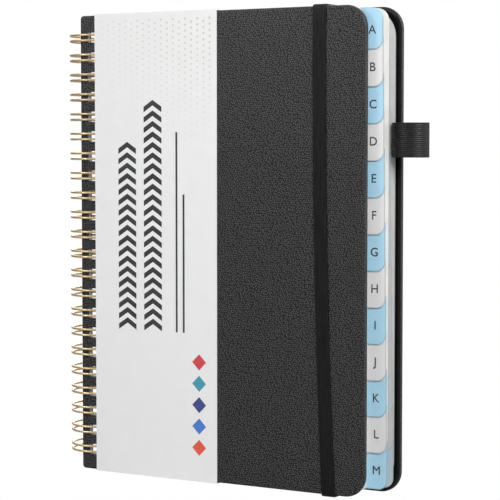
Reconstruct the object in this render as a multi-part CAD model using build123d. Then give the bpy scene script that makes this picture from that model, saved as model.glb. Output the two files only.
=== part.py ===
from build123d import *
import math
import os

# Twin-loop bound address book, standing upright, in millimetres.
# Working frame: X runs from the front cover's spine edge to the fore edge, Y runs from the front
# cover's outer face into the book, Z runs up from the covers' bottom edge. The pieces are written out
# with the origin under the middle of the book's bounding box.

# Covers
cover_h = 196.0
front_w = 137.9
back_wider = 2.7
cover_t = 2.5
fore_corner_r = 9.0
spine_corner_r = 1.5
outer_round = 0.8
inner_round = 0.5
leather_t = 0.25
turn_in = 12.5
endpaper_t = 0.2
endpaper_inset = 1.5

# Twin-loop wire and the punched holes that it runs through
loop_pitch = 8.467
loop_end_margin = 8.5
loop_row_drop = 0.3
wire_d = 1.0
ring_r = 12.0
pair_spacing = 2.4
bend_r = 1.0
tip_gap = 0.6
wire_gap = 0.4
hole_margin = 4.0
spine_clear = 0.8
hole_clear = 0.3
hole_h = 4.4
leaf_hole_w = 4.4
arcs_per_turn = 4
gap_samples = 24

# Leaves, dividers and end card
leaf_narrower = 11.9
leaf_margin = 5.0
tab_w = 9.5
top_tab_extra = 1.69
tab_corner_r = 4.0
page_corner_r = 5.0
back_page_corner_r = 11.0
page_top_inset = 1.2
page_bottom_inset = 2.4
divider_t = 0.14
leaves_t = 0.21
front_leaves_t = 1.05
end_card_t = 0.25
section_gap = 0.16
letters = "abcdefghijklmnopqrstuvwxyz"
bank_size = 13
letters_per_section = 2

# Paper sleeve round the front cover
sleeve_from_spine = 7.9
sleeve_w = 61.3
sleeve_t = 0.25
sleeve_gap = 0.12

# Elastic closure
elastic_w = 5.9
elastic_t = 0.7
elastic_gap = 0.1
elastic_top_in = 20.6
elastic_bottom_in = 16.2
elastic_bow = 1.4
slit_in = 15.0
slit_clear = 0.2

# Pen loop
pen_d = 9.2
pen_loop_straight = 4.6
pen_loop_t = 0.9
pen_loop_h = 13.8
pen_loop_down = 53.3
pen_tail = 13.0
tail_clear = 0.3
tab_clear = 0.7

# Widths and heights that follow the covers
back_w = front_w + back_wider
leaf_w = front_w - leaf_narrower
loop_count = int((cover_h - 2 * loop_end_margin) / loop_pitch) + 1
first_loop_z = (cover_h - (loop_count - 1) * loop_pitch) / 2 - loop_row_drop
page_bottom = page_bottom_inset
page_top = cover_h - page_top_inset
tab_step = (page_top - page_bottom - top_tab_extra) / bank_size
pen_loop_z = cover_h - pen_loop_down

# Depths, from the front cover's outer face
leather_depth = cover_t - endpaper_t
front_leaves_y = cover_t + 2 * sleeve_gap + sleeve_t + sleeve_gap
stack_y = front_leaves_y + front_leaves_t + section_gap
letter_pitch = divider_t + leaves_t
section_pitch = letters_per_section * letter_pitch + section_gap
section_count = len(letters) // letters_per_section
card_y = stack_y + section_count * section_pitch
seam_gap = section_gap + elastic_gap
back_y = card_y + end_card_t + wire_d + 2 * seam_gap
book_t = back_y + cover_t

# The ring stands clear of the front cover's face and drops into the cover's hole at hole_margin
wire_r = wire_d / 2
ring_in = ring_r - wire_r
ring_out = ring_r + wire_r
ring_y = ring_r - wire_r - wire_gap
ring_x = hole_margin + spine_clear - math.sqrt(ring_in**2 - ring_y**2)
hole_reach = ring_x + math.sqrt(ring_out**2 - (ring_y - cover_t) ** 2) + hole_clear
cover_hole_w = hole_reach - hole_margin
back_x = ring_x + math.sqrt(ring_in**2 - (book_t - ring_y) ** 2) - spine_clear - hole_margin


def ring_x_at(y):
    """Where the wire's centre line crosses a leaf that lies at depth y."""
    return ring_x + math.sqrt(ring_r**2 - (y - ring_y) ** 2)


leaf_hole_x = (ring_x + ring_r + ring_x_at(stack_y)) / 2
front_leaf_hole_x = ring_x_at(front_leaves_y + front_leaves_t / 2)
leaf_left = leaf_hole_x - leaf_margin
leaf_right = leaf_left + leaf_w
tab_right = leaf_right + tab_w

# Pen loop: its outer ply runs on into a tail that is glued inside the back cover
pen_loop_out_d = pen_d + 2 * pen_loop_t
pen_loop_len = pen_loop_straight + pen_loop_out_d
pen_loop_left = tab_right + tab_clear
pen_loop_x = pen_loop_left + pen_loop_len / 2
pen_loop_right = pen_loop_left + pen_loop_len
tail_back_y = back_y + endpaper_t
pen_loop_y = tail_back_y - pen_loop_out_d / 2
tail_left = back_x + back_w - pen_tail

# Origin under the middle of the bounding box: the wire is the spine side, the pen loop the fore side
origin_x = (ring_x - ring_out + pen_loop_right) / 2
base_z = -(elastic_gap + elastic_t)
to_origin = Pos(-origin_x, -ring_y, -base_z)


def slab(sketch, y_from, y_to):
    """Solid with an X-Z outline, between two depths."""
    return extrude(Plane.XZ.offset(-y_from) * sketch, amount=y_from - y_to)


def block(x_from, x_to, y_from, y_to, z_from, z_to):
    """Box between two corners."""
    size = Box(x_to - x_from, y_to - y_from, z_to - z_from)
    return Pos((x_from + x_to) / 2, (y_from + y_to) / 2, (z_from + z_to) / 2) * size


def panel(x_from, x_to, z_from, z_to):
    """Rectangle in the X-Z outline."""
    return Pos((x_from + x_to) / 2, (z_from + z_to) / 2) * Rectangle(x_to - x_from, z_to - z_from)


def punched(x_middle, width):
    """Outlines of the row of holes, one for each twin loop."""
    middle_z = first_loop_z + (loop_count - 1) * loop_pitch / 2
    row = GridLocations(0, loop_pitch, 1, loop_count)
    return [Pos(x_middle, middle_z) * place * Rectangle(width, hole_h) for place in row]


def cover_outline(width, inset):
    """Cover outline, drawn in by inset: tight corners at the spine, wide ones at the fore edge."""
    sketch = panel(inset, width - inset, inset, cover_h - inset)
    sketch = fillet(sketch.vertices().group_by(Axis.X)[-1], max(fore_corner_r - inset, leather_t))
    return fillet(sketch.vertices().group_by(Axis.X)[0], max(spine_corner_r - inset, leather_t))


def rounded(solid, outer_r, inner_r):
    """The slab with its outer rim and its inner rim rounded over."""
    rims = solid.faces().sort_by(Axis.Y)
    solid = fillet(rims[0].outer_wire().edges(), outer_r)
    return fillet(solid.faces().sort_by(Axis.Y)[-1].outer_wire().edges(), inner_r)


def cover_pieces(width):
    """Leather, board and endpaper of one cover, outer face at Y 0."""
    holes = punched(hole_margin + cover_hole_w / 2, cover_hole_w)
    bored = slab(Sketch() + holes, -cover_t, 2 * cover_t)
    board = slab(cover_outline(width, leather_t), leather_t, leather_depth - leather_t)
    board = rounded(board, outer_round - leather_t, inner_round - leather_t)
    board += slab(cover_outline(width, turn_in), leather_depth - leather_t, leather_depth)
    leather = rounded(slab(cover_outline(width, 0), 0, leather_depth), outer_round, inner_round)
    leather -= board
    endpaper_left = endpaper_inset / 2
    lining = cover_outline(width, endpaper_inset) + panel(
        endpaper_left, turn_in, endpaper_inset, cover_h - endpaper_inset
    )
    endpaper = slab(lining - holes, leather_depth, cover_t)
    return leather - bored, board - bored, endpaper


def to_back(solid):
    """Turn a cover piece over and set it behind the leaves."""
    return Pos(back_x, book_t, 0) * mirror(solid, about=Plane.XZ)


def ring_point(angle, z):
    """Point on the wire's centre line."""
    return Vector(ring_x + ring_r * math.cos(angle), ring_y + ring_r * math.sin(angle), z)


def ring_tangent(angle):
    """Direction in which the wire runs on, the angle growing."""
    return Vector(-math.sin(angle), math.cos(angle), 0)


def ring_arcs(angle_from, angle_to, z):
    """One wire of a twin loop, as arcs of about a quarter turn."""
    step = (angle_to - angle_from) / arcs_per_turn
    starts = [angle_from + i * step for i in range(arcs_per_turn)]
    return [
        ThreePointArc(ring_point(a, z), ring_point(a + step / 2, z), ring_point(a + step, z))
        for a in starts
    ]


def wire_path():
    """The binding's one wire: hairpin loops side by side, joined by short runs along the seam."""
    seam_y = back_y - seam_gap - wire_r
    root = math.asin((seam_y - ring_y) / math.hypot(ring_r, bend_r)) + math.atan2(bend_r, ring_r)
    tip_back = bend_r + tip_gap + wire_d + pair_spacing / 2
    tip = root + 2 * math.pi - tip_back / ring_r
    along, tip_along = ring_tangent(root), ring_tangent(tip)
    up = Vector(0, 0, 1)
    diagonal = bend_r / math.sqrt(2)
    edges = []
    last = None
    for k in range(loop_count):
        z_middle = first_loop_z + k * loop_pitch
        low = z_middle - pair_spacing / 2
        high = z_middle + pair_spacing / 2
        bend_in = ring_point(root, low - bend_r)
        bend_out = ring_point(root, high + bend_r)
        seam_in = bend_in - along * bend_r
        seam_out = bend_out - along * bend_r
        edges.append(Line(last or seam_in - up * wire_d, seam_in))
        edges.append(ThreePointArc(seam_in, bend_in + (up - along) * diagonal, ring_point(root, low)))
        edges += ring_arcs(root, tip, low)
        tip_end = ring_point(tip, z_middle) + tip_along * (pair_spacing / 2)
        edges.append(ThreePointArc(ring_point(tip, low), tip_end, ring_point(tip, high)))
        edges += ring_arcs(tip, root, high)
        edges.append(ThreePointArc(ring_point(root, high), bend_out - (up + along) * diagonal, seam_out))
        last = seam_out
    edges.append(Line(last, last + up * wire_d))
    return edges


def least_self_gap(edges):
    """Least clear gap between parts of the wire that aren't neighbours along it, over two loops."""
    edges_per_loop = 2 * arcs_per_turn + 4
    points = []
    travelled = 0.0
    for edge in edges[: 2 * edges_per_loop]:
        for i in range(gap_samples):
            share = i / gap_samples
            points.append((edge @ share, travelled + share * edge.length))
        travelled += edge.length
    apart = math.pi * pair_spacing / 2
    gaps = [
        (p - q).length
        for n, (p, at) in enumerate(points)
        for q, there in points[n + 1 :]
        if there - at >= apart
    ]
    return min(gaps) - wire_d


def binding_wire():
    """The wire swept along its path as one unbroken tube. Its arcs stay apart, as quarter turns."""
    edges = wire_path()
    path = Wire(edges)
    start = Plane(edges[0] @ 0, z_dir=edges[0] % 0)
    tube = sweep(start * Circle(wire_r), path=path, clean=False)
    print("wire: length %.1f mm, least gap to itself %.2f mm" % (path.length, least_self_gap(edges)))
    print("wire: volume over section times length %.4f" % (tube.volume / (math.pi * wire_r**2 * path.length)))
    return tube


def leaf_block(left, hole_x, y_from, thickness):
    """Plain leaves, squared up as one block."""
    sketch = panel(left, left + leaf_w, page_bottom, page_top)
    sketch = fillet(sketch.vertices().group_by(Axis.X)[-1], tab_corner_r)
    return slab(sketch - punched(hole_x, leaf_hole_w), y_from, y_from + thickness)


def divider(place_in_bank, y_from, thickness, upper_r, lower_r):
    """Index divider: its fore margin is cut away below its own tab."""
    steps_below = bank_size - 1 - place_in_bank
    tab_bottom = page_bottom + steps_below * tab_step
    sketch = panel(leaf_left, tab_right, page_bottom, page_top)
    if steps_below:
        sketch -= panel(leaf_right, tab_right + tab_w, page_bottom - tab_step, tab_bottom)
    lower, upper = sketch.vertices().group_by(Axis.X)[-1].sort_by(Axis.Y)
    sketch = fillet(upper, min(upper_r, page_top - tab_bottom - lower_r - thickness))
    lower = sketch.vertices().filter_by_position(Axis.X, tab_right, tab_right).sort_by(Axis.Y)[0]
    sketch = fillet(lower, lower_r)
    return slab(sketch - punched(leaf_hole_x, leaf_hole_w), y_from, y_from + thickness)


def paper_sleeve():
    """Paper band folded once round the front cover, its inner ply cut back to clear the wire."""
    left, right = sleeve_from_spine, sleeve_from_spine + sleeve_w
    reach = sleeve_gap + sleeve_t
    behind = cover_t + reach
    outside = block(left, right, -reach, behind, -reach, cover_h + reach)
    inside = block(
        left - sleeve_t, right + sleeve_t, -sleeve_gap, cover_t + sleeve_gap, -sleeve_gap, cover_h + sleeve_gap
    )
    inner_left = ring_x + math.sqrt(ring_out**2 - (ring_y - behind) ** 2) + wire_gap
    cut_back = block(left - sleeve_t, inner_left, cover_t, behind + reach, -cover_t, cover_h + cover_t)
    return outside - inside - cut_back


elastic_top_x = front_w - elastic_top_in
elastic_bottom_x = front_w - elastic_bottom_in
elastic_out = elastic_gap + elastic_t


def elastic_edge(side):
    """One long edge of the elastic's front run: bowed towards the spine, straight at both ends."""
    shift = side * elastic_w / 2
    middle = (elastic_top_x + elastic_bottom_x) / 2 - elastic_bow
    low, high = (elastic_bottom_x + shift, 0), (elastic_top_x + shift, cover_h)
    bottom_end = Line((low[0], -elastic_out), low)
    bow = ThreePointArc(low, (middle + shift, cover_h / 2), high)
    top_end = Line(high, (high[0], cover_h + elastic_out))
    return [bottom_end, bow, top_end]


def elastic_closure():
    """Band over the front cover, round the book's top and bottom, into slits in the back cover."""
    spine_side, fore_side = elastic_edge(-1), elastic_edge(1)
    bottom = Line(spine_side[0] @ 0, fore_side[0] @ 0)
    top = Line(spine_side[-1] @ 1, fore_side[-1] @ 1)
    band = slab(make_face(spine_side + fore_side + [bottom, top]), -elastic_out, -elastic_gap)
    back_out = book_t + elastic_out
    for x, edge_z, up in ((elastic_bottom_x, 0, -1), (elastic_top_x, cover_h, 1)):
        left, right = x - elastic_w / 2, x + elastic_w / 2
        outer_z = edge_z + up * elastic_out
        slit_z = edge_z - up * slit_in
        run = sorted((edge_z + up * elastic_gap, outer_z))
        band += block(left, right, -elastic_out, back_out, *run)
        band += block(left, right, book_t + elastic_gap, back_out, *sorted((slit_z, outer_z)))
        leg = sorted((slit_z, slit_z + up * elastic_t))
        band += block(left, right, back_y + endpaper_t, back_out, *leg)
    return band


def elastic_slits():
    """Slits in the back cover that take the elastic's ends."""
    cuts = []
    for x, edge_z, up in ((elastic_bottom_x, 0, -1), (elastic_top_x, cover_h, 1)):
        half = elastic_w / 2 + slit_clear
        slit_z = edge_z - up * slit_in
        low, high = sorted((slit_z - up * slit_clear, slit_z + up * (elastic_t + slit_clear)))
        cuts.append(block(x - half, x + half, back_y + endpaper_t, book_t + cover_t, low, high))
    return cuts


def pen_loop():
    """Flattened elastic tube beside the fore edge, with its tail inside the back cover."""
    tube = SlotOverall(pen_loop_len, pen_loop_out_d) - SlotOverall(pen_loop_len - 2 * pen_loop_t, pen_d)
    tail_len = pen_loop_x - tail_left
    tail = Pos(tail_left + tail_len / 2, tail_back_y - pen_loop_t / 2) * Rectangle(tail_len, pen_loop_t)
    section = Pos(pen_loop_x, pen_loop_y) * tube + tail
    return extrude(Plane.XY.offset(pen_loop_z - pen_loop_h / 2) * section, amount=pen_loop_h)


def tail_notch():
    """Room for the pen loop's tail in the back endpaper."""
    low = pen_loop_z - pen_loop_h / 2 - tail_clear
    high = pen_loop_z + pen_loop_h / 2 + tail_clear
    return block(tail_left - tail_clear, tab_right + tab_w, back_y - cover_t, tail_back_y, low, high)


def sections():
    """Dividers and leaf blocks, by node name. A section's leaf blocks share one node."""
    nodes = {}
    for s in range(section_count):
        names = letters[s * letters_per_section : (s + 1) * letters_per_section]
        blocks = []
        for n, name in enumerate(names):
            index = s * letters_per_section + n
            y = stack_y + s * section_pitch + n * letter_pitch
            upper_r = page_corner_r if index < bank_size else back_page_corner_r
            nodes["divider_" + name] = divider(index % bank_size, y, divider_t, upper_r, tab_corner_r)
            blocks.append(leaf_block(leaf_left, leaf_hole_x, y + divider_t, leaves_t))
        nodes["leaves_" + names] = Compound(children=blocks)
    return nodes


def build():
    """Every piece of the book, by node name."""
    nodes = {}
    nodes["front_leather"], nodes["front_board"], nodes["front_endpaper"] = cover_pieces(front_w)
    leather, board, endpaper = [to_back(piece) for piece in cover_pieces(back_w)]
    slits = elastic_slits()
    nodes["back_leather"] = leather - slits
    nodes["back_board"] = board - slits
    nodes["back_endpaper"] = endpaper - tail_notch()
    nodes["binding_wire"] = binding_wire()
    nodes["paper_sleeve"] = paper_sleeve()
    nodes["elastic_closure"] = elastic_closure()
    nodes["pen_loop"] = pen_loop()
    front_left = front_leaf_hole_x - leaf_margin
    nodes["front_leaves"] = leaf_block(front_left, front_leaf_hole_x, front_leaves_y, front_leaves_t)
    nodes.update(sections())
    corner_r = back_page_corner_r
    nodes["end_card"] = divider(bank_size - 1, card_y, end_card_t, corner_r, corner_r)
    return nodes


os.makedirs("parts", exist_ok=True)
for node, solid in build().items():
    export_step(to_origin * solid, os.path.join("parts", node + ".step"))
ring_place = (ring_x - origin_x, ring_y - ring_y)
print("ring axis at X %.3f, Y %.3f; back cover shifted %.2f; book %.2f thick" % (*ring_place, back_x, book_t))
print("pen loop round end at X %.3f, Y %.3f" % (pen_loop_x + pen_loop_straight / 2 - origin_x, pen_loop_y - ring_y))
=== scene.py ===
"""Looks of a twin-loop bound address book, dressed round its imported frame.

Sizes in the classes are millimetres in the book's own coordinates: X from the front cover's spine edge,
Y from the front cover's outer face into the book, Z up from the covers' bottom edge. at() turns such a
point into the frame's metres, and corners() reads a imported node's box in the same millimetres.
"""

import logging
import math
from dataclasses import dataclass
from enum import Enum
from functools import lru_cache
from typing import Dict, List, Sequence, Tuple, Union

import bmesh
import bpy
from mathutils import Matrix, Vector

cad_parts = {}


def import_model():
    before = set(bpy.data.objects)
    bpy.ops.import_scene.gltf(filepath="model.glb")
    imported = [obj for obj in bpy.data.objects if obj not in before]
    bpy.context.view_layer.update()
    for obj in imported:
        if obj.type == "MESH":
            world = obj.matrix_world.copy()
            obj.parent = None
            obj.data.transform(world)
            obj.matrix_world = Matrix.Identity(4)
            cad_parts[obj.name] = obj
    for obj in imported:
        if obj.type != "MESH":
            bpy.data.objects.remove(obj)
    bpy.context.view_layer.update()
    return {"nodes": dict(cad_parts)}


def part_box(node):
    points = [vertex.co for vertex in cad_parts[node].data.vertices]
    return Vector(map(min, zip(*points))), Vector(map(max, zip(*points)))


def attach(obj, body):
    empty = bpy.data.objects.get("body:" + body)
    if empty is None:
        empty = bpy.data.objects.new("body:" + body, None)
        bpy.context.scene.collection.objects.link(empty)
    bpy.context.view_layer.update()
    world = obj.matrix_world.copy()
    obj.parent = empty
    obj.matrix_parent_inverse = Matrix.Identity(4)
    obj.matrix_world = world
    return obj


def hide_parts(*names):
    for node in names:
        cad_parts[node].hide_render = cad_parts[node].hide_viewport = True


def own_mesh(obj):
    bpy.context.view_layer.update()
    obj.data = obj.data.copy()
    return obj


LOG = logging.getLogger("address_book")

MM = 0.001
LETTERS = "abcdefghijklmnopqrstuvwxyz"
BANK = 13
PER_SECTION = 2
# Height of the built-in font's capitals, over its size.
FONT_CAP = 0.69
# Corners nearer than this, in metres, are one corner.
WELD = 1e-7
# Edges of a strap that bend by more than this, in degrees, stay sharp.
STRAP_CREASE = 50.0
# The node whose lowest corner is the zero point of the book's own coordinates.
ZERO_NODE = "front_leather"

Triple = Tuple[float, float, float]
Colour = Triple
Socket = bpy.types.NodeSocket
Feed = Union[float, Sequence[float], Socket]
Nodes = Dict[str, bpy.types.Object]


@lru_cache(maxsize=None)
def corners(node: str) -> Tuple[Vector, Vector]:
    """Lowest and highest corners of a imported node, in the book's millimetres."""
    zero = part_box(ZERO_NODE)[0]
    return tuple((corner - zero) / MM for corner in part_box(node))


@lru_cache(maxsize=None)
def zero_point() -> Vector:
    """The book's zero point in the frame, in metres."""
    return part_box(ZERO_NODE)[0]


def far_corner() -> Vector:
    """The back cover's far upper corner: its Y is the book's thickness, its Z the covers' height."""
    return corners("back_leather")[1]


def at(x: float, y: float, z: float) -> Vector:
    """Point of the frame, in metres, for a point of the book in millimetres."""
    return zero_point() + Vector((x, y, z)) * MM


def linear(red: float, green: float, blue: float) -> Colour:
    """Scene-linear colour for a display colour.

    Args:
        red: red, 0 to 255.
        green: green, 0 to 255.
        blue: blue, 0 to 255.

    Returns:
        The three channels, 0 to 1.
    """

    def channel(value: float) -> float:
        """One channel of the display curve, undone."""
        share = value / 255
        return share / 12.92 if share <= 0.04045 else ((share + 0.055) / 1.055) ** 2.4

    return channel(red), channel(green), channel(blue)


def section_of(letter: str) -> str:
    """Name of the section body that holds a letter's divider."""
    first = LETTERS.index(letter) // PER_SECTION * PER_SECTION
    return "section_" + LETTERS[first : first + PER_SECTION]


class Graph:
    """A shader node tree, with short calls that add and join nodes."""

    def __init__(self, tree: bpy.types.NodeTree) -> None:
        """Keep the tree that nodes are added to."""
        self.tree = tree

    def add(self, kind: str, **settings: object) -> bpy.types.Node:
        """Add a node.

        Args:
            kind: Blender's name of the node type.
            settings: properties to set on the node.

        Returns:
            The new node.
        """
        node = self.tree.nodes.new(kind)
        for name, value in settings.items():
            setattr(node, name, value)
        return node

    def feed(self, socket: Socket, value: Feed) -> None:
        """Join a socket to another one, or set its value.

        Args:
            socket: the input to fill.
            value: an output to join it to, or a plain value.
        """
        if isinstance(value, Socket):
            self.tree.links.new(value, socket)
        elif socket.type == "RGBA" and len(value) == 3:
            socket.default_value = (*value, 1.0)
        else:
            socket.default_value = value

    def math(self, operation: str, *values: Feed) -> Socket:
        """Add a Math node.

        Args:
            operation: Blender's name of the operation.
            values: its inputs, in order.

        Returns:
            Its output.
        """
        node = self.add("ShaderNodeMath", operation=operation)
        for socket, value in zip(node.inputs, values):
            self.feed(socket, value)
        return node.outputs[0]

    def vector(self, operation: str, *values: Feed) -> Socket:
        """Add a Vector Math node.

        Args:
            operation: Blender's name of the operation.
            values: its inputs, in order.

        Returns:
            Its vector output.
        """
        node = self.add("ShaderNodeVectorMath", operation=operation)
        for socket, value in zip(node.inputs, values):
            self.feed(socket, value)
        return node.outputs[0]

    def mix(self, share: Feed, low: Feed, high: Feed) -> Socket:
        """Mix two colours.

        Args:
            share: how much of the second colour there is, 0 to 1.
            low: the colour at 0.
            high: the colour at 1.

        Returns:
            The mixed colour.
        """
        node = self.add("ShaderNodeMix", data_type="RGBA")
        self.feed(node.inputs[0], share)
        self.feed(node.inputs[6], low)
        self.feed(node.inputs[7], high)
        return node.outputs[2]

    def span(self, value: Feed, low: Feed, high: Feed) -> Socket:
        """Test whether a value lies in a range.

        Args:
            value: the value.
            low: the range's lower end.
            high: its upper end.

        Returns:
            1 inside the range, else 0.
        """
        above = self.math("GREATER_THAN", value, low)
        below = self.math("LESS_THAN", value, high)
        return self.math("MULTIPLY", above, below)

    def ramp(self, value: Feed, low: float, high: float, start: float = 0.0, end: float = 1.0) -> Socket:
        """Carry a value smoothly from one range onto another.

        Args:
            value: the value.
            low: where the first range starts.
            high: where it ends.
            start: the result at low and below.
            end: the result at high and above.

        Returns:
            The carried value.
        """
        node = self.add("ShaderNodeMapRange", interpolation_type="SMOOTHSTEP")
        for socket, item in zip(node.inputs, (value, low, high, start, end)):
            self.feed(socket, item)
        return node.outputs[0]

    def place(self) -> Socket:
        """Object coordinates."""
        return self.add("ShaderNodeTexCoord").outputs["Object"]

    def axes(self, coordinate: str = "Object") -> Tuple[Socket, Socket, Socket]:
        """Split a coordinate into its axes.

        Args:
            coordinate: the Texture Coordinate node's name for it.

        Returns:
            Its X, Y and Z.
        """
        node = self.add("ShaderNodeSeparateXYZ")
        self.feed(node.inputs[0], self.add("ShaderNodeTexCoord").outputs[coordinate])
        return node.outputs[0], node.outputs[1], node.outputs[2]

    def noise(self, scale: float, detail: float, stretch: Feed = (1.0, 1.0, 1.0)) -> Socket:
        """Add noise on Object coordinates.

        Args:
            scale: the noise's scale, per metre.
            detail: how many finer layers it has.
            stretch: factors on the coordinates.

        Returns:
            The noise's value.
        """
        node = self.add("ShaderNodeTexNoise")
        self.feed(node.inputs["Vector"], self.vector("MULTIPLY", self.place(), stretch))
        self.feed(node.inputs["Scale"], scale)
        self.feed(node.inputs["Detail"], detail)
        return node.outputs["Fac"]

    def group(self, tree: bpy.types.NodeTree, **values: Feed) -> bpy.types.Node:
        """Place a node group with its own values.

        Args:
            tree: the group.
            values: values by input name.

        Returns:
            The group's node.
        """
        node = self.add("ShaderNodeGroup", node_tree=tree)
        for name, value in values.items():
            self.feed(node.inputs[name], value)
        return node


class Effects:
    """Node groups that several materials share, each built once."""

    def __init__(self) -> None:
        """Build every group."""
        self.pebble = self._pebble()
        self.fibre = self._fibre()
        self.weave = self._weave()
        self.tab = self._tab()
        self.rules = self._rules()

    @staticmethod
    def _start(
        name: str, inputs: Dict[str, str], outputs: Dict[str, str]
    ) -> Tuple[Graph, bpy.types.Node, bpy.types.Node]:
        """Start a group.

        Args:
            name: the group's name.
            inputs: socket types by input name.
            outputs: socket types by output name.

        Returns:
            Its graph, its input node and its output node.
        """
        tree = bpy.data.node_groups.new(name, "ShaderNodeTree")
        for side, sockets in (("INPUT", inputs), ("OUTPUT", outputs)):
            for socket, kind in sockets.items():
                tree.interface.new_socket(name=socket, in_out=side, socket_type="NodeSocket" + kind)
        graph = Graph(tree)
        return graph, graph.add("NodeGroupInput"), graph.add("NodeGroupOutput")

    def _pebble(self) -> bpy.types.NodeTree:
        """Pebbled grain: small slanted cells with creases between them, and a painted highlight on the tops
        of cells.

        Returns:
            The group. Cells is how many there are to a metre, PaintedHighlight is 1 where a cell's top takes
            a painted highlight, and Tone is cloudy.
        """
        bend_scale, bend = 300.0, 0.0006
        slant, lean, squeeze = -0.5, 0.8, (1.05, 1.2, 1.0)
        scatter, crease_width, top_width, least_painted_highlight = 0.75, 0.3, 0.5, 0.7
        pore_scale, pore_height, tone_scale, detail = 5200.0, 0.35, 38.0, 3.0
        graph, given, made = self._start(
            "pebble_grain", {"Cells": "Float"},
            {"Height": "Float", "Crease": "Float", "PaintedHighlight": "Float", "Tone": "Float"},
        )
        warp = graph.add("ShaderNodeTexNoise")
        graph.feed(warp.inputs["Vector"], graph.place())
        graph.feed(warp.inputs["Scale"], bend_scale)
        bent = graph.vector("SCALE", graph.vector("SUBTRACT", warp.outputs["Color"], (0.5, 0.5, 0.5)))
        bent.node.inputs["Scale"].default_value = bend
        x, y, z = graph.axes()
        slanted = graph.add("ShaderNodeCombineXYZ")
        graph.feed(slanted.inputs[0], graph.math("MULTIPLY_ADD", z, slant, graph.math("ADD", x, y)))
        graph.feed(slanted.inputs[1], graph.math("MULTIPLY_ADD", y, lean, z))
        spot = graph.vector("MULTIPLY", graph.vector("ADD", slanted.outputs[0], bent), squeeze)
        edges = graph.add("ShaderNodeTexVoronoi", feature="DISTANCE_TO_EDGE", voronoi_dimensions="2D")
        cells = graph.add("ShaderNodeTexVoronoi", feature="F1", voronoi_dimensions="2D")
        for node in (edges, cells):
            graph.feed(node.inputs["Vector"], spot)
            graph.feed(node.inputs["Scale"], given.outputs["Cells"])
            graph.feed(node.inputs["Randomness"], scatter)
        dome = graph.ramp(edges.outputs["Distance"], 0.0, crease_width)
        # Painted highlight: a lighter spot on the tops of cells picked at random, where lamp light would
        # catch the raised grain.
        chance = graph.add("ShaderNodeSeparateColor")
        graph.feed(chance.inputs[0], cells.outputs["Color"])
        picked = graph.ramp(chance.outputs[0], 0.0, 1.0, least_painted_highlight, 1.0)
        top = graph.ramp(cells.outputs["Distance"], 0.0, top_width, 1.0, 0.0)
        pores = graph.math("MULTIPLY", graph.noise(pore_scale, detail), pore_height)
        graph.feed(made.inputs["Height"], graph.math("ADD", dome, pores))
        graph.feed(made.inputs["Crease"], graph.math("SUBTRACT", 1.0, dome))
        graph.feed(made.inputs["PaintedHighlight"], graph.math("MULTIPLY", picked, top))
        graph.feed(made.inputs["Tone"], graph.noise(tone_scale, detail))
        return graph.tree

    def _fibre(self) -> bpy.types.NodeTree:
        """Paper: fine fibres and a cloudy tone.

        Returns:
            The group.
        """
        fibre_scale, upright, cloud_scale, detail = 2600.0, (1.0, 1.0, 0.35), 160.0, 4.0
        graph, _, made = self._start("paper_fibre", {}, {"Height": "Float", "Cloud": "Float"})
        graph.feed(made.inputs["Height"], graph.noise(fibre_scale, detail, upright))
        graph.feed(made.inputs["Cloud"], graph.noise(cloud_scale, detail))
        return graph.tree

    def _weave(self) -> bpy.types.NodeTree:
        """Woven elastic: short cross threads, broken up a little, and a tone that runs along the strap.

        Returns:
            The group. Threads is how many there are to a metre, and Stretch draws the tone out.
        """
        uneven, uneven_scale, tone_scale, detail = 1.6, 3.0, 900.0, 2.0
        graph, given, made = self._start(
            "elastic_weave", {"Threads": "Float", "Stretch": "Vector"}, {"Height": "Float", "Tone": "Float"}
        )
        along = graph.add("ShaderNodeTexWave", wave_type="BANDS", bands_direction="DIAGONAL")
        graph.feed(along.inputs["Vector"], graph.place())
        graph.feed(along.inputs["Scale"], given.outputs["Threads"])
        graph.feed(along.inputs["Distortion"], uneven)
        graph.feed(along.inputs["Detail Scale"], uneven_scale)
        graph.feed(made.inputs["Height"], along.outputs["Fac"])
        graph.feed(made.inputs["Tone"], graph.noise(tone_scale, detail, given.outputs["Stretch"]))
        return graph.tree

    def _tab(self) -> bpy.types.NodeTree:
        """Colour printed over a divider's tab, and the darker rim of its lower and outer edges.

        Returns:
            The group. Its inputs are the tab's sides and the round of its corner, in the frame's metres.
        """
        rim_start, rim_full = -0.55 * MM, -0.1 * MM
        graph, given, made = self._start(
            "tab_print",
            {"Left": "Float", "Low": "Float", "High": "Float", "Right": "Float", "Corner": "Float"},
            {"Print": "Float", "Rim": "Float"},
        )
        x, _, z = graph.axes()
        low, corner = given.outputs["Low"], given.outputs["Corner"]
        here = graph.math("GREATER_THAN", x, given.outputs["Left"])
        tall = graph.span(z, graph.math("SUBTRACT", low, MM), given.outputs["High"])
        graph.feed(made.inputs["Print"], graph.math("MULTIPLY", here, tall))
        out_x = graph.math("SUBTRACT", x, graph.math("SUBTRACT", given.outputs["Right"], corner))
        out_z = graph.math("SUBTRACT", graph.math("ADD", low, corner), z)
        far = graph.math("SQRT", graph.math(
            "ADD",
            graph.math("POWER", graph.math("MAXIMUM", out_x, 0.0), 2.0),
            graph.math("POWER", graph.math("MAXIMUM", out_z, 0.0), 2.0),
        ))
        near = graph.math("MINIMUM", graph.math("MAXIMUM", out_x, out_z), 0.0)
        inside = graph.math("SUBTRACT", graph.math("ADD", far, near), corner)
        graph.feed(made.inputs["Rim"], graph.ramp(inside, rim_start, rim_full))
        return graph.tree

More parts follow.
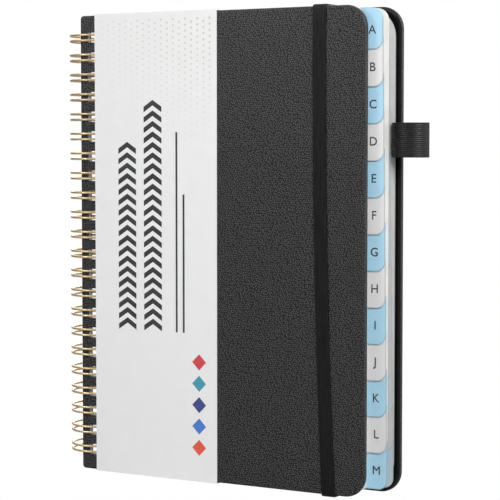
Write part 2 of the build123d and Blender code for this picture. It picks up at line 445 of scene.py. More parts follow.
    def _rules(self) -> bpy.types.NodeTree:
        """Printed entry lines on a page's faces, and the sheets' edges on its sides.

        Returns:
            The group.
        """
        left, right, bottom, top = 22.0, 126.0, 12.0, 186.0
        low, high = at(left, 0, bottom), at(right, 0, top)
        line_pitch, line_share, facing, sheets_per_m = 8.5 * MM, 0.03, 0.9, 9000.0
        graph, _, made = self._start("page_rules", {}, {"Line": "Float", "Edge": "Float"})
        x, y, z = graph.axes()
        _, front, _ = graph.axes("Normal")
        flat = graph.math("GREATER_THAN", graph.math("ABSOLUTE", front), facing)
        row = graph.math("FRACT", graph.math("DIVIDE", z, line_pitch))
        line = graph.math("LESS_THAN", row, line_share)
        inside = graph.math("MULTIPLY", graph.span(x, low.x, high.x), graph.span(z, low.z, high.z))
        drawn = graph.math("MULTIPLY", graph.math("MULTIPLY", line, inside), flat)
        graph.feed(made.inputs["Line"], drawn)
        sheets = graph.add("ShaderNodeTexNoise", noise_dimensions="1D")
        graph.feed(sheets.inputs["W"], y)
        graph.feed(sheets.inputs["Scale"], sheets_per_m)
        side = graph.math("SUBTRACT", 1.0, flat)
        graph.feed(made.inputs["Edge"], graph.math("MULTIPLY", sheets.outputs["Fac"], side))
        return graph.tree


class Finish:
    """What every finish shares: a material with one Principled shader."""

    @staticmethod
    def start(
        name: str, roughness: float, specular: float
    ) -> Tuple[bpy.types.Material, Graph, bpy.types.Node]:
        """Start a material.

        Args:
            name: the material's name.
            roughness: the shader's plain roughness.
            specular: the shader's specular level.

        Returns:
            The material, its graph and its shader.
        """
        material = bpy.data.materials.new(name)
        material.use_nodes = True
        graph = Graph(material.node_tree)
        shader = material.node_tree.nodes["Principled BSDF"]
        shader.inputs["Roughness"].default_value = roughness
        shader.inputs["Specular IOR Level"].default_value = specular
        return material, graph, shader

    @staticmethod
    def bump(graph: Graph, shader: bpy.types.Node, height: Feed, depth_mm: float, strength: float) -> None:
        """Raise a height on the shader's normal.

        Args:
            graph: the material's graph.
            shader: its shader.
            height: the height, 0 to 1.
            depth_mm: how far 1 stands out.
            strength: the share of it that shows.
        """
        node = graph.add("ShaderNodeBump")
        node.inputs["Strength"].default_value = strength
        node.inputs["Distance"].default_value = depth_mm * MM
        graph.feed(node.inputs["Height"], height)
        graph.feed(shader.inputs["Normal"], node.outputs[0])


@dataclass(frozen=True)
class LeatherCloth(Finish):
    """Black pebble-grained leathercloth."""

    raised: Colour = linear(12, 12, 13)
    worn: Colour = linear(16, 16, 17)
    # Painted highlight: the lit tops of the grain's cells.
    painted_highlight: Colour = linear(104, 104, 106)
    # Painted shade: near black in the creases between the grain's cells.
    crease: Colour = linear(1, 1, 1)
    # Painted shade: the flat dark colour of the faces turned towards the pages, without the grain's creases
    # and painted highlight.
    inside_shade: Colour = linear(17, 17, 18)
    cells_per_m: float = 1000.0
    depth_mm: float = 0.02
    polished: float = 0.32
    dull: float = 0.5
    specular: float = 0.36
    worn_range: Tuple[float, float] = (0.35, 0.7)
    worn_share: float = 0.6
    facing: float = 0.6

    def material(self, effects: Effects) -> bpy.types.Material:
        """Make the finish into a material.

        Args:
            effects: the shared node groups.

        Returns:
            The material.
        """
        material, graph, shader = self.start("leathercloth", self.polished, self.specular)
        grain = graph.group(effects.pebble, Cells=self.cells_per_m)
        rubbed = graph.ramp(grain.outputs["Tone"], *self.worn_range, 0.0, self.worn_share)
        worn = graph.mix(rubbed, self.raised, self.worn)
        with_painted_highlight = graph.mix(grain.outputs["PaintedHighlight"], worn, self.painted_highlight)
        # Painted shade in the creases, laid over the grain.
        grained = graph.mix(grain.outputs["Crease"], with_painted_highlight, self.crease)
        # Faces turned towards the pages take painted shade over the grain.
        graph.feed(shader.inputs["Base Color"], graph.mix(self.shaded_inside(graph), grained, self.inside_shade))
        sheen = graph.ramp(grain.outputs["Crease"], 0.0, 1.0, self.polished, self.dull)
        graph.feed(shader.inputs["Roughness"], sheen)
        self.bump(graph, shader, grain.outputs["Height"], self.depth_mm, 1.0)
        return material

    def shaded_inside(self, graph: Graph) -> Socket:
        """Find the faces turned towards the pages, which take painted shade: one flat dark colour in place of
        the grain.

        Args:
            graph: the material's graph.

        Returns:
            1 on those faces, else 0.
        """
        middle = at(0, far_corner().y / 2, 0).y
        _, facing, _ = graph.axes("Normal")
        _, depth, _ = graph.axes()
        side = graph.math("SIGN", graph.math("SUBTRACT", middle, depth))
        return graph.math("GREATER_THAN", graph.math("MULTIPLY", facing, side), self.facing)


@dataclass(frozen=True)
class CoatedWire(Finish):
    """Pale gold coated wire."""

    colour: Colour = linear(228, 204, 164)
    polished: float = 0.24
    dull: float = 0.4
    specular: float = 0.5
    metallic: float = 0.9
    cloud_scale: float = 900.0
    cloud_detail: float = 3.0
    tarnish: float = 0.8
    tarnish_range: Tuple[float, float] = (0.3, 0.75)
    dull_range: Tuple[float, float] = (0.2, 0.8)

    def material(self, effects: Effects) -> bpy.types.Material:
        """Make the finish into a material.

        Args:
            effects: the shared node groups.

        Returns:
            The material.
        """
        material, graph, shader = self.start("coated_wire", self.polished, self.specular)
        shader.inputs["Metallic"].default_value = self.metallic
        cloud = graph.noise(self.cloud_scale, self.cloud_detail)
        darker = tuple(c * self.tarnish for c in self.colour)
        tarnished = graph.ramp(cloud, *self.tarnish_range)
        graph.feed(shader.inputs["Base Color"], graph.mix(tarnished, self.colour, darker))
        graph.feed(shader.inputs["Roughness"], graph.ramp(cloud, *self.dull_range, self.polished, self.dull))
        return material


@dataclass(frozen=True)
class Webbing(Finish):
    """Black woven elastic."""

    name: str
    colour: Colour
    roughness: float
    specular: float
    stretch: Triple = (2.5, 2.5, 0.15)
    threads_per_m: float = 900.0
    lighter: float = 1.6
    uneven: float = 0.09
    uneven_range: Tuple[float, float] = (0.35, 0.65)
    depth_mm: float = 0.05
    relief: float = 0.1

    def material(self, effects: Effects) -> bpy.types.Material:
        """Make the finish into a material.

        Args:
            effects: the shared node groups.

        Returns:
            The material.
        """
        material, graph, shader = self.start(self.name, self.roughness, self.specular)
        weave = graph.group(effects.weave, Threads=self.threads_per_m, Stretch=self.stretch)
        tone = weave.outputs["Tone"]
        lighter = tuple(c * self.lighter for c in self.colour)
        graph.feed(shader.inputs["Base Color"], graph.mix(tone, self.colour, lighter))
        low, high = self.roughness - self.uneven, self.roughness + self.uneven
        graph.feed(shader.inputs["Roughness"], graph.ramp(tone, *self.uneven_range, low, high))
        self.bump(graph, shader, weave.outputs["Height"], self.depth_mm, self.relief)
        return material


@dataclass(frozen=True)
class PaperStock(Finish):
    """Plain paper or card, with fibre and a slight cloudiness."""

    name: str
    colour: Colour
    roughness: float = 0.7
    specular: float = 0.3
    relief: float = 0.15
    cloud: float = 0.06
    cloud_range: Tuple[float, float] = (0.35, 0.65)
    depth_mm: float = 0.02

    def sheet(self, effects: Effects) -> Tuple[bpy.types.Material, Graph, bpy.types.Node, Socket]:
        """Start the stock's material.

        Args:
            effects: the shared node groups.

        Returns:
            The material, its graph, its shader and the stock's plain colour.
        """
        material, graph, shader = self.start(self.name, self.roughness, self.specular)
        fibre = graph.group(effects.fibre)
        shade = tuple(c * (1 - self.cloud) for c in self.colour)
        plain = graph.mix(graph.ramp(fibre.outputs["Cloud"], *self.cloud_range), self.colour, shade)
        self.bump(graph, shader, fibre.outputs["Height"], self.depth_mm, self.relief)
        return material, graph, shader, plain

    def material(self, effects: Effects) -> bpy.types.Material:
        """Make the finish into a material.

        Args:
            effects: the shared node groups.

        Returns:
            The material.
        """
        material, graph, shader, plain = self.sheet(effects)
        graph.feed(shader.inputs["Base Color"], plain)
        return material


@dataclass(frozen=True)
class LeafPaper(PaperStock):
    """Page paper: faint entry lines on its faces, and painted shade in the gaps between sheets on its sides.
    """

    line: Colour = linear(150, 165, 178)
    # Painted shade: darker lines in the gaps between sheets, on the pages' sides.
    gap: Colour = linear(172, 172, 170)
    gap_shade_range: Tuple[float, float] = (0.1, 0.65)
    gap_shade_share: float = 0.7

    def material(self, effects: Effects) -> bpy.types.Material:
        """Make the finish into a material.

        Args:
            effects: the shared node groups.

        Returns:
            The material.
        """
        material, graph, shader, plain = self.sheet(effects)
        marks = graph.group(effects.rules)
        lined = graph.mix(marks.outputs["Line"], plain, self.line)
        edges = graph.ramp(marks.outputs["Edge"], *self.gap_shade_range, 0.0, self.gap_shade_share)
        graph.feed(shader.inputs["Base Color"], graph.mix(edges, lined, self.gap))
        return material


@dataclass(frozen=True)
class DividerStock(PaperStock):
    """Divider paper with its tab printed in a colour. The tab's sides are in the frame's metres."""

    tab: Colour = (1, 1, 1)
    left: float = 0.0
    low: float = 0.0
    high: float = 0.0
    right: float = 0.0
    corner: float = 0.0
    rim: float = 0.62

    def material(self, effects: Effects) -> bpy.types.Material:
        """Make the finish into a material.

        Args:
            effects: the shared node groups.

        Returns:
            The material.
        """
        material, graph, shader, plain = self.sheet(effects)
        mark = graph.group(
            effects.tab, Left=self.left, Low=self.low, High=self.high, Right=self.right, Corner=self.corner
        )
        rim = tuple(c * self.rim for c in self.tab)
        printed = graph.mix(mark.outputs["Rim"], self.tab, rim)
        graph.feed(shader.inputs["Base Color"], graph.mix(mark.outputs["Print"], plain, printed))
        return material


@dataclass(frozen=True)
class Ink(Finish):
    """Printing ink, a little mottled."""

    name: str
    colour: Colour
    roughness: float = 0.55
    specular: float = 0.4
    thin_share: float = 0.04

    def material(self, effects: Effects) -> bpy.types.Material:
        """Make the finish into a material.

        Args:
            effects: the shared node groups.

        Returns:
            The material.
        """
        material, graph, shader = self.start("ink_" + self.name, self.roughness, self.specular)
        fibre = graph.group(effects.fibre)
        thin = tuple(c + (1 - c) * self.thin_share for c in self.colour)
        graph.feed(shader.inputs["Base Color"], graph.mix(fibre.outputs["Cloud"], self.colour, thin))
        return material


def finish_piece(
    name: str,
    shape: bmesh.types.BMesh,
    material: bpy.types.Material,
    body: str,
    crease: float = 0.0,
) -> bpy.types.Object:
    """Make a shape into a piece that rides on a body.

    Args:
        name: the piece's name.
        shape: its mesh, in the frame's metres; it is freed.
        material: its finish.
        body: the body it moves with.
        crease: the angle, in degrees, over which edges stay sharp; 0 keeps every face flat.

    Returns:
        The new object.
    """
    bmesh.ops.recalc_face_normals(shape, faces=shape.faces[:])
    mesh = bpy.data.meshes.new(name)
    shape.to_mesh(mesh)
    shape.free()
    if crease:
        mesh.shade_smooth()
        mesh.set_sharp_from_angle(angle=math.radians(crease))
    mesh.materials.append(material)
    piece = bpy.data.objects.new(name, mesh)
    bpy.context.scene.collection.objects.link(piece)
    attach(piece, body)
    LOG.info("%s: %d faces on %s", name, len(mesh.polygons), body)
    return piece


def draw_along(shape: bmesh.types.BMesh, outline: Sequence[Vector], stations: Sequence[Matrix]) -> None:
    """Draw a closed outline along a row of stations and cap both ends.

    Args:
        shape: the mesh that takes the form.
        outline: points of the section, in a station's own X and Y.
        stations: places of the section, in the frame.
    """
    corners = [shape.verts.new(stations[0] @ point) for point in outline]
    ring = [shape.edges.new(pair) for pair in zip(corners, corners[1:] + corners[:1])]
    bmesh.ops.contextual_create(shape, geom=ring)
    for last, here in zip(stations, stations[1:]):
        grown = bmesh.ops.extrude_edge_only(shape, edges=ring)["geom"]
        moved = [item for item in grown if isinstance(item, bmesh.types.BMVert)]
        ring = [item for item in grown if isinstance(item, bmesh.types.BMEdge) and item.is_boundary]
        bmesh.ops.transform(shape, matrix=here @ last.inverted(), verts=moved)
    bmesh.ops.contextual_create(shape, geom=ring)


def station(place: Vector, across: Vector, out: Vector) -> Matrix:
    """Set up one place of a strap's section.

    Args:
        place: the section's middle, in the book's millimetres.
        across: where the section's X points.
        out: where its Y points.

    Returns:
        The matrix from the section to the frame.
    """
    along = across.cross(out)
    turn = Matrix((across, out, along)).transposed().to_4x4()
    return Matrix.Translation(at(*place)) @ turn


def ribbed_outline(width: float, thickness: float, ribs: int, depth: float, both: bool) -> List[Vector]:
    """Section of a ribbed strap, in metres.

    Args:
        width: across the strap, in millimetres.
        thickness: over the ribs, in millimetres.
        ribs: ribs across the width.
        depth: how deep the grooves are, in millimetres.
        both: whether the inner face is ribbed too.

    Returns:
        Points round the section.
    """
    rib = ((0.0, 1.0), (0.18, 0.35), (0.5, 0.0), (0.82, 0.35))
    pitch = width / ribs
    face = [(-width / 2 + (i + share) * pitch, drop * depth) for i in range(ribs) for share, drop in rib]
    face.append((width / 2, depth))
    half = thickness / 2
    outer = [Vector((x, half - drop, 0)) * MM for x, drop in face]
    inner = [Vector((x, (drop if both else 0) - half, 0)) * MM for x, drop in reversed(face)]
    return outer + inner


def paint(piece: bpy.types.Object, material: bpy.types.Material) -> None:
    """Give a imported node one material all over.

    Args:
        piece: the node's object.
        material: its finish.
    """
    piece.data.materials.clear()
    piece.data.materials.append(material)
    LOG.info("%s: %s", piece.name, material.name)


@dataclass
class Covers:
    """Both covers, the boards inside them and their endpapers."""

    leather: LeatherCloth
    board: PaperStock
    endpaper: PaperStock

    def dress(self, nodes: Nodes, effects: Effects) -> None:
        """Give each cover's layers their finishes.

        Args:
            nodes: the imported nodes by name.
            effects: the shared node groups.
        """
        layers = {"leather": self.leather, "board": self.board, "endpaper": self.endpaper}
        for layer, finish in layers.items():
            material = finish.material(effects)
            for side in ("front", "back"):
                paint(nodes[side + "_" + layer], material)


@dataclass
class ElasticClosure:
    """Elastic over the front cover, round the book's ends and into the back cover's slits."""

    finish: Webbing
    joint: str = "cover_hinge"
    width: float = 5.9
    thickness: float = 0.7
    gap: float = 0.1
    ribs: int = 8
    groove: float = 0.3
    top_x: float = 117.3
    bottom_x: float = 121.7
    bow: float = 1.4
    bend: float = 1.0
    slit_bend: float = 0.6
    slit_in: float = 15.0
    slit_end_y: float = 17.6
    bend_steps: int = 6
    run_steps: int = 36
    keep: float = 0.165

    def front_x(self, z: float) -> float:
        """Middle of the front run at a height: it bows towards the spine."""
        share = min(max(z / far_corner().z, 0.0), 1.0)
        return self.bottom_x + (self.top_x - self.bottom_x) * share - 4 * self.bow * share * (1 - share)

    def corner(self, y: float, z: float, radius: float, start: float, turn: float) -> List[Triple]:
        """Take the elastic round a bend.

        Args:
            y: depth of the bend's middle.
            z: its height.
            radius: its radius, to the middle of the elastic.
            start: angle of the outward side where the bend starts.
            turn: angle that the bend turns through.

        Returns:
            Depth, height and angle of the outward side, step by step.
        """
        row = []
        for i in range(self.bend_steps + 1):
            angle = start + turn * i / self.bend_steps
            row.append((y + radius * math.cos(angle), z + radius * math.sin(angle), angle))
        return row

    def route(self) -> List[Triple]:
        """Take the elastic from the lower slit round the front to the upper slit.

        Returns:
            Depth, height and angle of the outward side, step by step.
        """
        _, book_t, cover_h = far_corner()
        half = self.thickness / 2
        front = low = -self.gap - half
        back, high = book_t + self.gap + half, cover_h + self.gap + half
        quarter = math.pi / 2
        lower_slit, upper_slit = self.slit_in - half, cover_h - self.slit_in + half
        slit_y = back - self.slit_bend
        row = [(self.slit_end_y, lower_slit, quarter)]
        row += self.corner(slit_y, lower_slit - self.slit_bend, self.slit_bend, quarter, -quarter)
        row += self.corner(back - self.bend, low + self.bend, self.bend, 0.0, -quarter)
        row += self.corner(front + self.bend, low + self.bend, self.bend, -quarter, -quarter)
        start, end = low + self.bend, high - self.bend
        step = (end - start) / self.run_steps
        row += [(front, start + i * step, -math.pi) for i in range(1, self.run_steps)]
        row += self.corner(front + self.bend, high - self.bend, self.bend, -math.pi, -quarter)
        row += self.corner(back - self.bend, high - self.bend, self.bend, quarter, -quarter)
        row += self.corner(slit_y, upper_slit + self.slit_bend, self.slit_bend, 0.0, -quarter)
        row.append((self.slit_end_y, upper_slit, -quarter))
        return row

    def build(self, effects: Effects) -> None:
        """Make the elastic and let it ride on the back cover.

        Args:
            effects: the shared node groups.
        """
        outline = ribbed_outline(self.width, self.thickness, self.ribs, self.groove, False)
        across = Vector((1, 0, 0))
        stations = []
        for y, z, angle in self.route():
            out = Vector((0, math.cos(angle), math.sin(angle)))
            stations.append(station(Vector((self.front_x(z), y, z)), across, out))
        shape = bmesh.new()
        draw_along(shape, outline, stations)
        material = self.finish.material(effects)
        piece = finish_piece("elastic_band", shape, material, "back_cover", STRAP_CREASE)
        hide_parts("elastic_closure")
        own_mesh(piece)


@dataclass
class PenLoop:
    """Flattened elastic loop beside the fore edge, its tail inside the back cover."""

    finish: Webbing
    wall: float = 0.9
    straight: float = 4.6
    tail_short: float = 0.05
    ribs: int = 18
    groove: float = 0.07
    steps: int = 48
    closing: float = 0.06

    def build(self, effects: Effects) -> None:
        """Make the loop as one strap: its tail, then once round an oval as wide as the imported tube.

        Args:
            effects: the shared node groups.
        """
        low, high = corners("pen_loop")
        deep = (high.y - low.y - self.wall) / 2
        wide = self.straight / 2 + deep
        middle = Vector((high.x - self.wall / 2 - wide, (low.y + high.y) / 2, (low.z + high.z) / 2))
        outline = ribbed_outline(high.z - low.z, self.wall, self.ribs, self.groove, True)
        across, back = Vector((0, 0, 1)), Vector((0, 1, 0))
        tail = Vector((low.x + self.tail_short, middle.y + deep, middle.z))
        stations = [station(tail, across, back)]
        for i in range(self.steps + 1):
            angle = math.pi / 2 - (2 * math.pi - self.closing) * i / self.steps
            place = middle + Vector((wide * math.cos(angle), deep * math.sin(angle), 0))
            out = Vector((deep * math.cos(angle), wide * math.sin(angle), 0)).normalized()
            stations.append(station(place, across, out))
        shape = bmesh.new()
        draw_along(shape, outline, stations)
        material = self.finish.material(effects)
        piece = finish_piece("pen_strap", shape, material, "back_cover", STRAP_CREASE)
        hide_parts("pen_loop")


class TabColour(Enum):
    """Colours of the index tabs, as display values; the back bank's are darkened as painted shade."""

    BLUE = (176, 218, 240)
    GREY = (228, 228, 228)
    # Painted shade: darker copies of pale blue and white for the back bank, which lies deeper in the book.
    SHADED_ICE = (190, 200, 206)
    SHADED_WHITE = (198, 198, 198)


@dataclass
class IndexDividers:
    """Dividers A to Z in two banks, with their printed tabs and letters."""

    ink: Ink
    top_extra: float = 1.69
    overlap: float = 5.0
    corner: float = 4.0
    letter_in: float = 4.8
    letter_up: float = 7.8
    cap_height: float = 3.4
    bolder: float = 0.06
    ink_t: float = 0.02
    curve_steps: int = 4
    wall_slope: float = 0.5
    paper: Colour = linear(234, 234, 231)
    # Painted shade: the back bank's paper is a darker copy of the front bank's.
    shaded_paper: Colour = linear(200, 200, 199)
    roughness: float = 0.5
    specular: float = 0.4
    rim: float = 0.62
    shaded_rim: float = 0.85

    @property
    def step(self) -> float:
        """Height from one tab to the next: the top tab is taller than the rest."""
        low, high = corners("divider_a")
        return (high.z - low.z - self.top_extra) / BANK

    def tab_colour(self, index: int) -> TabColour:
        """Choose a tab's colour.

        Args:
            index: the divider's place in the alphabet.

        Returns:
            The colour, in turn within its bank.
        """
        if index < BANK:
            return TabColour.GREY if index % 2 else TabColour.BLUE
        return TabColour.SHADED_ICE if index % 2 else TabColour.SHADED_WHITE

    def tab_bottom(self, index: int) -> float:
        """Height of a tab's lower edge."""
        return corners("divider_a")[0].z + (BANK - 1 - index % BANK) * self.step

    def dress(self, nodes: Nodes, effects: Effects) -> None:
        """Print each divider's tab and set its letter on both sides.

        Args:
            nodes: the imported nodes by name.
            effects: the shared node groups.
        """
        ink = self.ink.material(effects)
        leaf_right, tab_right = corners("leaves_ab")[1].x, corners("divider_a")[1].x
        for index, letter in enumerate(LETTERS):
            front_bank = index < BANK
            corner = at(tab_right, 0, self.tab_bottom(index))
            stock = DividerStock(
                name="divider_" + letter,
                colour=self.paper if front_bank else self.shaded_paper,
                roughness=self.roughness,
                specular=self.specular,
                tab=linear(*self.tab_colour(index).value),
                left=at(leaf_right, 0, 0).x,
                low=corner.z,
                high=corner.z + (self.step + self.overlap) * MM,
                right=corner.x,
                corner=self.corner * MM,
                rim=self.rim if front_bank else self.shaded_rim,
            )
            paint(nodes["divider_" + letter], stock.material(effects))
            self.letter(letter, index, ink)

    def letter(self, letter: str, index: int, ink: bpy.types.Material) -> None:
        """Set one index letter on both sides of its tab, as thin ink.

        Args:
            letter: the letter, in lower case.
            index: its place in the alphabet.
            ink: the ink's material.
        """
        size = self.cap_height * MM / FONT_CAP
        curve = bpy.data.curves.new("letter", "FONT")
        curve.body = letter.upper()
        curve.align_x = "CENTER"
        curve.resolution_u = self.curve_steps
        curve.extrude = self.ink_t * MM / size
        text = bpy.data.objects.new("letter", curve)
        bpy.context.scene.collection.objects.link(text)
        bpy.context.view_layer.update()
        glyph = bpy.data.meshes.new_from_object(text)
        bpy.data.objects.remove(text)
        low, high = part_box("divider_" + letter)
        foot_x = corners("divider_a")[1].x - self.letter_in
        foot = at(foot_x, 0, self.tab_bottom(index) + self.letter_up - self.cap_height / 2)
        shape = bmesh.new()
        for depth, turn in ((low[1], 0.0), (high[1], math.pi)):
            upright = Matrix.Rotation(turn, 4, "Z") @ Matrix.Rotation(math.pi / 2, 4, "X")
            place = Matrix.Translation((foot.x, depth, foot.z)) @ upright @ Matrix.Scale(size, 4)
            before = set(shape.verts)
            shape.from_mesh(glyph)
            bmesh.ops.transform(shape, matrix=place, verts=[v for v in shape.verts if v not in before])
        bmesh.ops.remove_doubles(shape, verts=shape.verts[:], dist=WELD)
        self.embolden(shape)
        bpy.data.meshes.remove(glyph)
        finish_piece("letter_" + letter, shape, ink, section_of(letter))

    def embolden(self, shape: bmesh.types.BMesh) -> None:
        """Move the outlines of letters outwards, so that their strokes are bolder.

        Args:
            shape: the letters' welded mesh.
        """
        bmesh.ops.recalc_face_normals(shape, faces=shape.faces[:])
        ways = {}
        for corner in shape.verts:
            walls = [face.normal for face in corner.link_faces if abs(face.normal.y) < self.wall_slope]
            ways[corner] = sum(walls, Vector()).normalized()
        for corner, way in ways.items():
            bmesh.ops.translate(shape, vec=way * self.bolder * MM, verts=[corner])


@dataclass
class PrintedSleeve:
    """White paper sleeve with a plain geometric print."""

    paper: PaperStock
    dark: Ink
    faint: Ink
    accents: Tuple[Ink, ...]
    ink_t: float = 0.02
    foot: float = 62.0
    columns: Tuple[Tuple[float, float], ...] = ((24.5, 138.0), (37.5, 156.0))
    chevron_w: float = 9.0
    chevron_rise: float = 2.88
    chevron_t: float = 2.3
    chevron_pitch: float = 4.4
    bars: Tuple[Tuple[float, float], ...] = ((49.0, 146.0), (52.5, 120.0))
    bar_w: float = 0.9
    dot_in: float = 4.0
    dot_top: float = 193.0
    dot_columns: int = 19
    dot_rows: int = 26
    dot_across: float = 3.0
    dot_down: float = 2.5
    dot_r: float = 0.62
    dot_least_r: float = 0.12
    dot_left_share: float = 0.45
    dot_sides: int = 10
    diamond_x: float = 60.5
    diamond_z: float = 14.0
    diamond_pitch: float = 9.0
    diamond_r: float = 3.4

    def spot(self, x: float, z: float) -> Vector:
        """Point on the sleeve's front."""
        return at(x, corners("paper_sleeve")[0].y, z)

    def disc(self, shape: bmesh.types.BMesh, x: float, z: float, radius: float, sides: int) -> None:
        """Lay a flat disc, or a polygon of few sides, on the sleeve's front."""
        place = Matrix.Translation(self.spot(x, z)) @ Matrix.Rotation(math.pi / 2, 4, "X")
        bmesh.ops.create_circle(shape, cap_ends=True, segments=sides, radius=radius * MM, matrix=place)

    def bar(self, shape: bmesh.types.BMesh, ends: Sequence[Tuple[float, float]]) -> None:
        """Lay a flat bar with four corners on the sleeve's front."""
        bmesh.ops.contextual_create(shape, geom=[shape.verts.new(self.spot(x, z)) for x, z in ends])

    def chevrons(self, shape: bmesh.types.BMesh, x: float, high: float) -> None:
        """Lay a column of bold chevrons.

        Args:
            shape: the print's mesh.
            x: the column's middle.
            high: where the last chevron starts below.
        """
        z = self.foot
        while z < high:
            for side in (-1, 1):
                tip, end = (x, z + self.chevron_rise), (x + side * self.chevron_w / 2, z)
                upper = [(px, pz + self.chevron_t) for px, pz in (tip, end)]
                self.bar(shape, [end, tip, *upper])
            z += self.chevron_pitch

    def dots(self, shape: bmesh.types.BMesh) -> None:
        """Lay a field of dots that get smaller downwards and towards the spine.

        Args:
            shape: the print's mesh.
        """
        left = corners("paper_sleeve")[0].x + self.dot_in
        for column in range(self.dot_columns):
            across = column / (self.dot_columns - 1)
            shade = self.dot_left_share + (1 - self.dot_left_share) * across
            for row in range(self.dot_rows):
                z = self.dot_top - (row + column % 2 / 2) * self.dot_down
                size = self.dot_r * (1 - row / self.dot_rows) * shade
                if size > self.dot_least_r:
                    self.disc(shape, left + column * self.dot_across, z, size, self.dot_sides)

    def dress(self, nodes: Nodes, effects: Effects) -> None:
        """Give the sleeve its paper and its print.

        Args:
            nodes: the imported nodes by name.
            effects: the shared node groups.
        """
        paint(nodes["paper_sleeve"], self.paper.material(effects))
        bold = bmesh.new()
        for x, high in self.columns:
            self.chevrons(bold, x, high)
        for x, high in self.bars:
            right = x + self.bar_w
            self.bar(bold, [(x, self.foot), (right, self.foot), (right, high), (x, high)])
        self.lay("sleeve_chevrons", bold, self.dark, effects)
        field = bmesh.new()
        self.dots(field)
        self.lay("sleeve_dots", field, self.faint, effects)
        for k, ink in enumerate(self.accents):
            mark = bmesh.new()
            self.disc(mark, self.diamond_x, self.diamond_z + self.diamond_pitch * k, self.diamond_r, 4)
            self.lay("sleeve_diamond_%d" % (k + 1), mark, ink, effects)

    def lay(self, name: str, shape: bmesh.types.BMesh, ink: Ink, effects: Effects) -> None:
        """Make a flat print into thin ink that moves with the sleeve.

        Args:
            name: the piece's name.
            shape: the flat print; it is freed.
            ink: its finish.
            effects: the shared node groups.
        """
        bmesh.ops.remove_doubles(shape, verts=shape.verts[:], dist=WELD)
        bmesh.ops.recalc_face_normals(shape, faces=shape.faces[:])
        bmesh.ops.solidify(shape, geom=shape.faces[:], thickness=self.ink_t * MM)
        middle = sum((v.co.y for v in shape.verts), 0.0) / len(shape.verts)
        lift = Vector((0, self.spot(0, 0).y - self.ink_t * MM / 2 - middle, 0))
        bmesh.ops.translate(shape, vec=lift, verts=shape.verts[:])
        finish_piece(name, shape, ink.material(effects), "sleeve")


@dataclass(frozen=True)
class Lamp:
    """A soft area lamp."""

    name: str
    place: Triple
    target: Triple
    size: float
    watts: float

    def build(self) -> None:
        """Set the lamp up, aimed at its target."""
        light = bpy.data.lights.new(self.name, "AREA")
        light.shape = "DISK"
        light.size = self.size
        light.energy = self.watts
        lamp = bpy.data.objects.new(self.name, light)
        lamp.location = self.place
        aim = Vector(self.target) - Vector(self.place)
        lamp.rotation_euler = aim.to_track_quat("-Z", "Y").to_euler()
        bpy.context.scene.collection.objects.link(lamp)


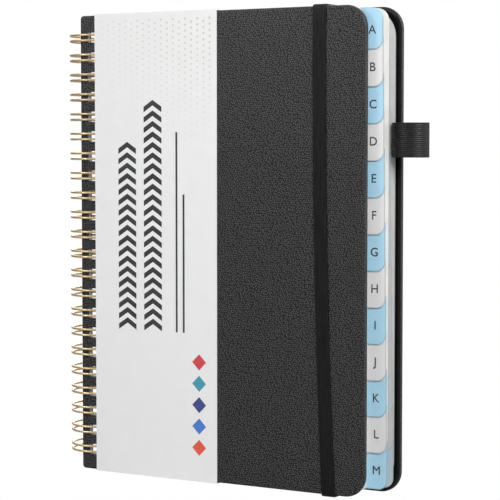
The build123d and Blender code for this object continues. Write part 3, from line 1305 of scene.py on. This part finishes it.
@dataclass
class Studio:
    """White floor and surroundings, soft lamps and the camera."""

    eye: Triple = (0.391865, -0.654139, 0.143088)
    yaw: float = 0.5352
    pitch: float = 0.0595
    lens: float = 131.64
    sensor: float = 36.0
    nearest: float = 0.01
    ambient: float = 0.13
    white: float = 1.0
    mirrored_low: float = 0.085
    mirrored_high: float = 1.0
    above_range: Tuple[float, float] = (0.1, 0.8)
    behind_range: Tuple[float, float] = (0.1, 0.9)
    floor_r: float = 12.0
    floor_sides: int = 64
    floor_shade: float = 0.5
    floor_roughness: float = 0.9
    floor_mirrored: float = 0.1
    lamps: Tuple[Lamp, ...] = (
        Lamp("key", (-0.7, -1.15, 0.6), (0.0, 0.0, 0.15), 0.5, 4.5),
        Lamp("side", (0.65, -0.55, 0.6), (0.05, 0.0, 0.12), 0.5, 9.2),
        Lamp("rim", (0.93, 0.25, 0.25), (0.07, 0.0, 0.14), 0.9, 3.4),
        Lamp("back", (-0.55, 1.0, 0.6), (0.0, 0.0, 0.1), 0.8, 6.0),
    )

    def build(self) -> None:
        """Set the stage."""
        bpy.context.scene.view_settings.view_transform = "Standard"
        self.surroundings()
        self.floor()
        for lamp in self.lamps:
            lamp.build()
        self.camera()

    @staticmethod
    def seen(graph: Graph, straight: float, mirrored: Feed) -> Socket:
        """How white a surface shows itself, apart from the light that falls on it.

        Args:
            graph: the material's or the world's nodes.
            straight: for the camera, and through glass.
            mirrored: in a reflection.

        Returns:
            The share, 0 for light on its way to other surfaces.
        """
        path = graph.add("ShaderNodeLightPath")
        eye = graph.math("MAXIMUM", path.outputs["Is Camera Ray"], path.outputs["Is Transmission Ray"])
        gloss = graph.math("MULTIPLY", path.outputs["Is Glossy Ray"], mirrored)
        return graph.math("MAXIMUM", graph.math("MULTIPLY", eye, straight), gloss)

    def surroundings(self) -> None:
        """White surroundings, which reflections show darker in front, near the horizon."""
        world = bpy.data.worlds.new("studio")
        bpy.context.scene.world = world
        world.use_nodes = True
        graph = Graph(world.node_tree)
        back = world.node_tree.nodes["Background"]
        back.inputs["Color"].default_value = (1, 1, 1, 1)
        _, back_share, up_share = graph.axes("Generated")
        above = graph.ramp(up_share, *self.above_range, self.mirrored_low, self.mirrored_high)
        behind = graph.ramp(back_share, *self.behind_range, self.mirrored_low, self.mirrored_high)
        shown = self.seen(graph, self.white, graph.math("MAXIMUM", above, behind))
        graph.feed(back.inputs["Strength"], graph.math("MAXIMUM", shown, self.ambient))

    def floor(self) -> None:
        """Floor that the camera sees as white and that throws a little light back up."""
        shape = bmesh.new()
        bmesh.ops.create_circle(shape, cap_ends=True, segments=self.floor_sides, radius=self.floor_r)
        mesh = bpy.data.meshes.new("floor")
        shape.to_mesh(mesh)
        shape.free()
        material = bpy.data.materials.new("floor")
        material.use_nodes = True
        graph = Graph(material.node_tree)
        shader = material.node_tree.nodes["Principled BSDF"]
        shader.inputs["Base Color"].default_value = (*[self.floor_shade] * 3, 1)
        shader.inputs["Roughness"].default_value = self.floor_roughness
        glow = graph.add("ShaderNodeEmission")
        glow.inputs["Color"].default_value = (1, 1, 1, 1)
        blend = graph.add("ShaderNodeMixShader")
        graph.feed(blend.inputs[0], self.seen(graph, self.white, self.floor_mirrored))
        graph.feed(blend.inputs[1], shader.outputs[0])
        graph.feed(blend.inputs[2], glow.outputs[0])
        graph.feed(material.node_tree.nodes["Material Output"].inputs["Surface"], blend.outputs[0])
        mesh.materials.append(material)
        floor = bpy.data.objects.new("floor", mesh)
        bpy.context.scene.collection.objects.link(floor)

    def camera(self) -> None:
        """Camera at the photograph's viewing angle."""
        lens = bpy.data.cameras.new("camera")
        lens.lens = self.lens
        lens.sensor_width = self.sensor
        lens.clip_start = self.nearest
        eye = bpy.data.objects.new("camera", lens)
        eye.location = self.eye
        eye.rotation_euler = (math.pi / 2 - self.pitch, 0.0, self.yaw)
        bpy.context.scene.collection.objects.link(eye)
        bpy.context.scene.camera = eye


def dress_papers(nodes: Nodes, effects: Effects) -> None:
    """Give the leaves and the end card their paper.

    Args:
        nodes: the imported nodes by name.
        effects: the shared node groups.
    """
    leaf = LeafPaper("leaf_paper", linear(232, 232, 228)).material(effects)
    for name, node in nodes.items():
        if name.startswith("leaves_") or name == "front_leaves":
            paint(node, leaf)
    # Painted shade: the end card is grey because the last sheets lie in the back cover's shade.
    card = PaperStock("end_card", linear(168, 168, 167), roughness=0.75)
    paint(nodes["end_card"], card.material(effects))


def main() -> None:
    """Dress the book piece by piece."""
    logging.basicConfig(level=logging.INFO, format="%(message)s")
    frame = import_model()
    nodes = frame["nodes"]
    effects = Effects()
    Studio().build()
    Covers(
        LeatherCloth(),
        PaperStock("grey_board", linear(205, 204, 202), roughness=0.9, specular=0.2, relief=0.5),
        PaperStock("endpaper", linear(11, 11, 12), roughness=0.85, specular=0.08, relief=0.3),
    ).dress(nodes, effects)
    paint(nodes["binding_wire"], CoatedWire().material(effects))
    band = Webbing("closure_elastic", linear(13, 13, 13), roughness=0.42, specular=0.22)
    ElasticClosure(band).build(effects)
    loop = Webbing("loop_elastic", linear(4, 4, 4), roughness=0.47, specular=0.36, stretch=(0.15, 0.15, 2.5))
    PenLoop(loop).build(effects)
    IndexDividers(Ink("slate", linear(44, 49, 56))).dress(nodes, effects)
    dress_papers(nodes, effects)
    white = PaperStock(
        "sleeve_paper", linear(236, 236, 236), roughness=0.55, specular=0.4, relief=0.05, cloud=0.012
    )
    accents = (
        Ink("orange", linear(222, 84, 60)),
        Ink("blue", linear(60, 120, 200)),
        Ink("indigo", linear(52, 62, 130)),
        Ink("teal", linear(60, 150, 170)),
        Ink("red", linear(205, 60, 66)),
    )
    dark, faint = Ink("black", linear(28, 28, 29)), Ink("sand", linear(214, 208, 196))
    PrintedSleeve(white, dark, faint, accents).dress(nodes, effects)


if __name__ == "__main__":
    main()
